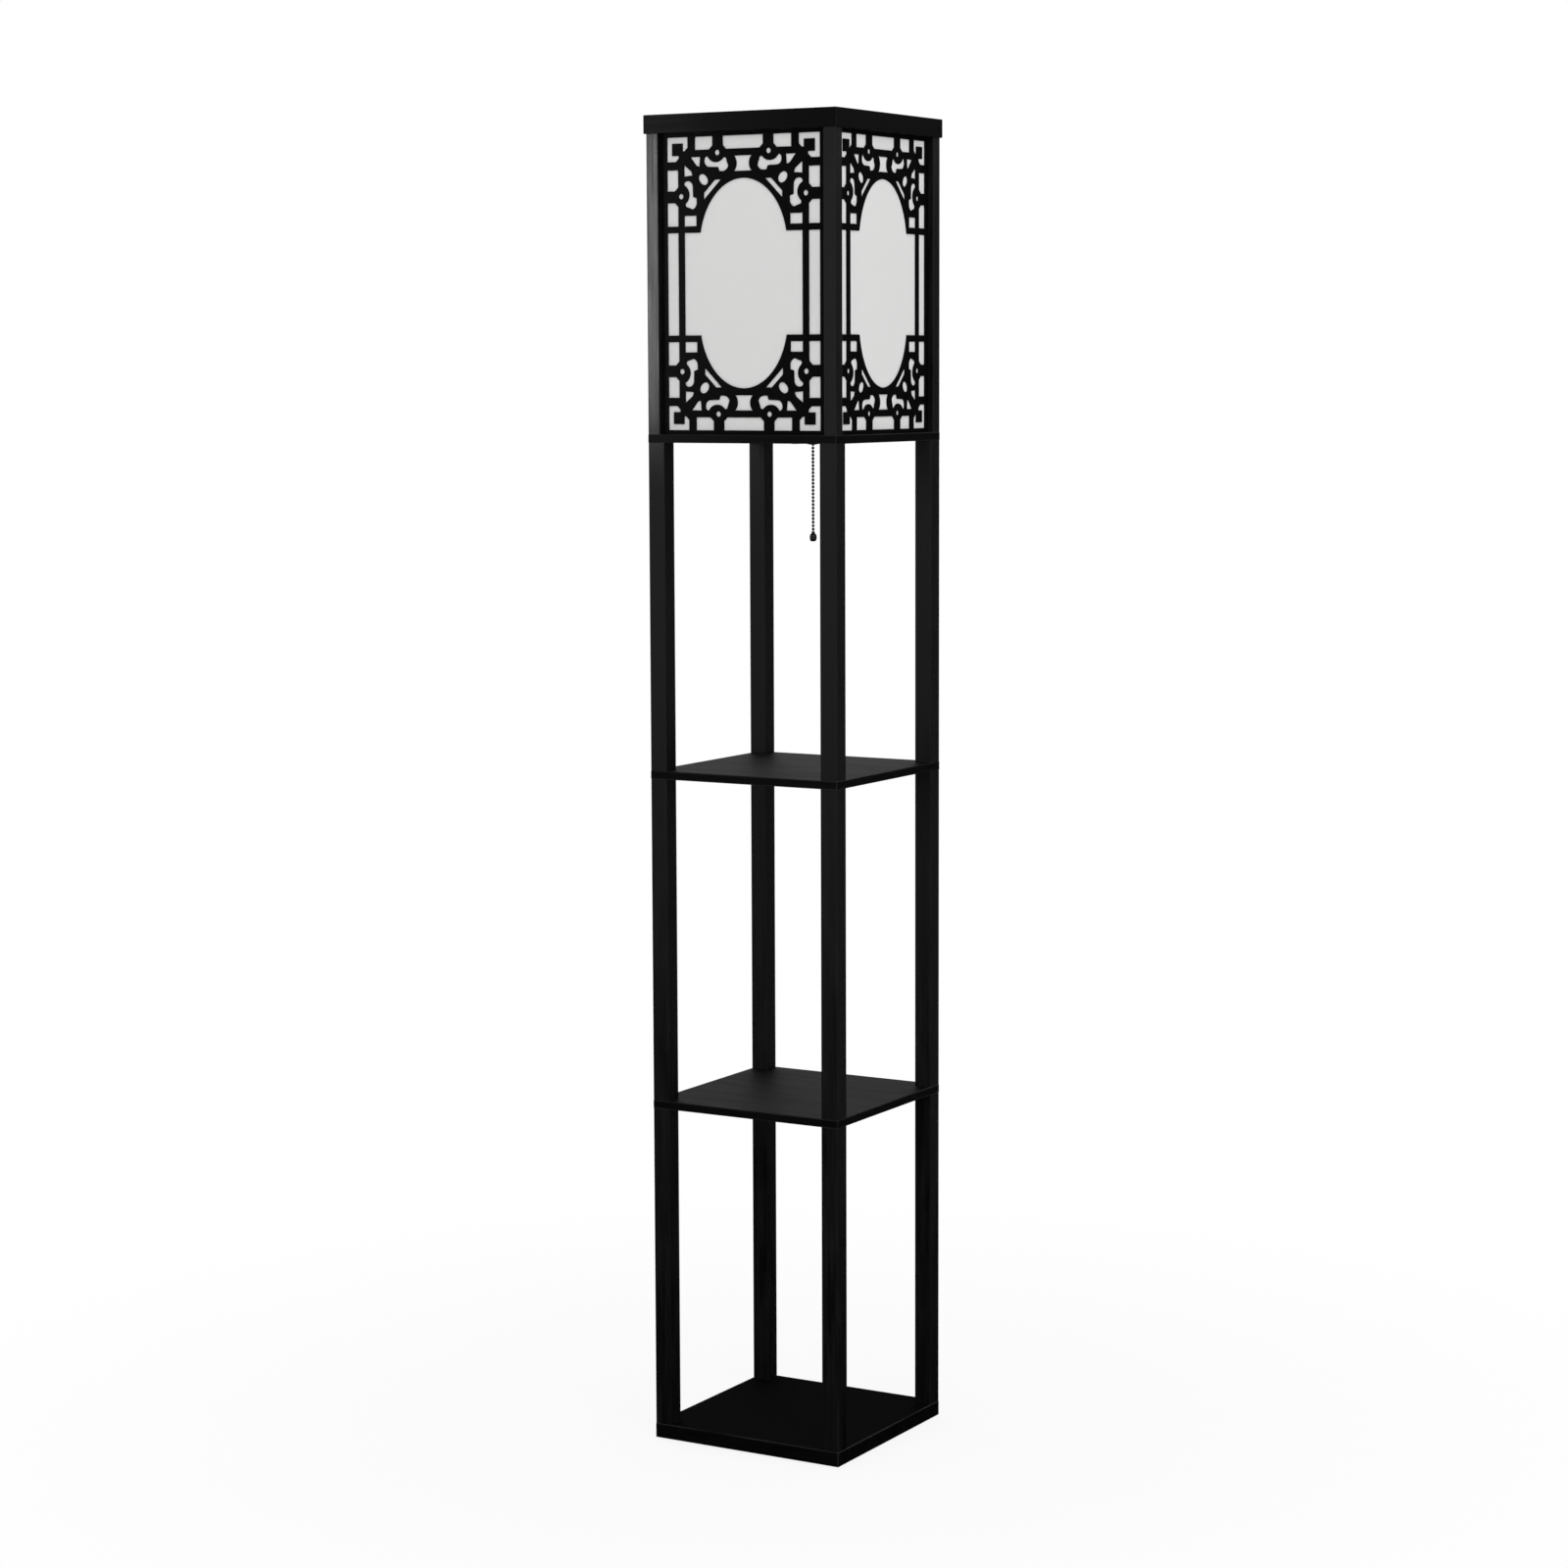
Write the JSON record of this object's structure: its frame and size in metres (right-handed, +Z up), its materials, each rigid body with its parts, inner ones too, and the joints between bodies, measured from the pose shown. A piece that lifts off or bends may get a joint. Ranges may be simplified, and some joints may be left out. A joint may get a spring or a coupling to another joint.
{
  "type": "shelf floor lamp",
  "caption": "Tall square floor lamp: open shelves on corner posts below a lamp head with fretwork sides, pale diffusers, an open top and a bead pull chain.",
  "frame": {"origin": "centre of the footprint, on the floor", "axes": "+Z up the lamp; -Y is the front side and +X the right side, with the front right post nearest the picture's camera"},
  "size_m": [0.2606, 0.2606, 1.6],
  "materials": {
    "black_wood": "black satin paint with the fine grain of the wood showing through",
    "fret_board": "black satin paint on cut hardboard",
    "diffuser_sheet": "pale translucent sheet with soft fibres",
    "felt": "black felt",
    "zinc_steel": "zinc plated",
    "black_steel": "black plated",
    "plain_wood": "bare beech",
    "holder_plastic": "moulded black phenolic",
    "brass": "bright brass",
    "bulb_frosted": "frosted white dome",
    "bulb_white": "white moulded housing",
    "bulb_metal": "nickel plated",
    "bulb_black": "black insulator",
    "chain_metal": "dark gunmetal plating",
    "knob_black": "gloss black",
    "lead_insulation": "white insulated wire",
    "grommet_rubber": "black rubber"
  },
  "bodies": {
    "stand": {"base_board": "black_wood", "base_bolts": "zinc_steel", "cord_grommet": "grommet_rubber", "diffuser_back": "diffuser_sheet", "diffuser_front": "diffuser_sheet", "diffuser_left": "diffuser_sheet", "diffuser_right": "diffuser_sheet", "floor_pads": "felt", "fret_panel_back": "fret_board", "fret_panel_front": "fret_board", "fret_panel_left": "fret_board", "fret_panel_right": "fret_board", "lamp_deck": "black_wood", "lamp_post_back_left": "black_wood", "lamp_post_back_right": "black_wood", "lamp_post_front_left": "black_wood", "lamp_post_front_right": "black_wood", "lampholder_body": "holder_plastic", "lampholder_contact": "brass", "lampholder_nipple": "black_steel", "lampholder_nut": "black_steel", "lampholder_screw_shell": "brass", "lower_post_back_left": "black_wood", "lower_post_back_right": "black_wood", "lower_post_front_left": "black_wood", "lower_post_front_right": "black_wood", "lower_shelf": "black_wood", "middle_post_back_left": "black_wood", "middle_post_back_right": "black_wood", "middle_post_front_left": "black_wood", "middle_post_front_right": "black_wood", "mitre_keys": "plain_wood", "pull_switch_body": "holder_plastic", "pull_switch_cover": "holder_plastic", "pull_switch_neck": "black_steel", "pull_switch_nut": "black_steel", "pull_switch_spring": "zinc_steel", "switch_lead": "lead_insulation", "tier_studs": "zinc_steel", "top_rail_back": "black_wood", "top_rail_front": "black_wood", "top_rail_left": "black_wood", "top_rail_right": "black_wood", "top_screws": "black_steel", "upper_post_back_left": "black_wood", "upper_post_back_right": "black_wood", "upper_post_front_left": "black_wood", "upper_post_front_right": "black_wood", "upper_shelf": "black_wood"},
    "bulb": {"bulb_globe": "bulb_frosted", "bulb_housing": "bulb_white", "bulb_cap": "bulb_metal", "bulb_insulator": "bulb_black", "bulb_contact": "brass"},
    "pull_rod": {"pull_chain_upper": "chain_metal", "pull_switch_plunger": "holder_plastic"},
    "chain_swivel": {"pull_chain_swivel": "chain_metal"},
    "chain_drop": {"pull_chain_lower": "chain_metal", "pull_knob": "knob_black"}
  },
  "joints": [
    {"name": "chain_pull", "type": "slide", "parent": "stand", "child": "pull_rod", "axis": [0, 0, -1], "range_m": [0, 0.009], "stiffness_N_per_m": 300, "springref_m": -0.015, "deforming": ["pull_switch_spring"]},
    {"name": "chain_swing_side", "type": "hinge", "parent": "pull_rod", "child": "chain_swivel", "pos_m": [0.039, -0.026, 1.209], "axis": [0, 1, 0], "range_deg": [-35, 35]},
    {"name": "chain_swing_front", "type": "hinge", "parent": "chain_swivel", "child": "chain_drop", "pos_m": [0.039, -0.026, 1.209], "axis": [1, 0, 0], "range_deg": [-35, 35]},
    {"name": "bulb_turn", "type": "hinge", "parent": "stand", "child": "bulb", "pos_m": [0, 0, 1.277], "axis": [0, 0, 1], "continuous": true}
  ]
}
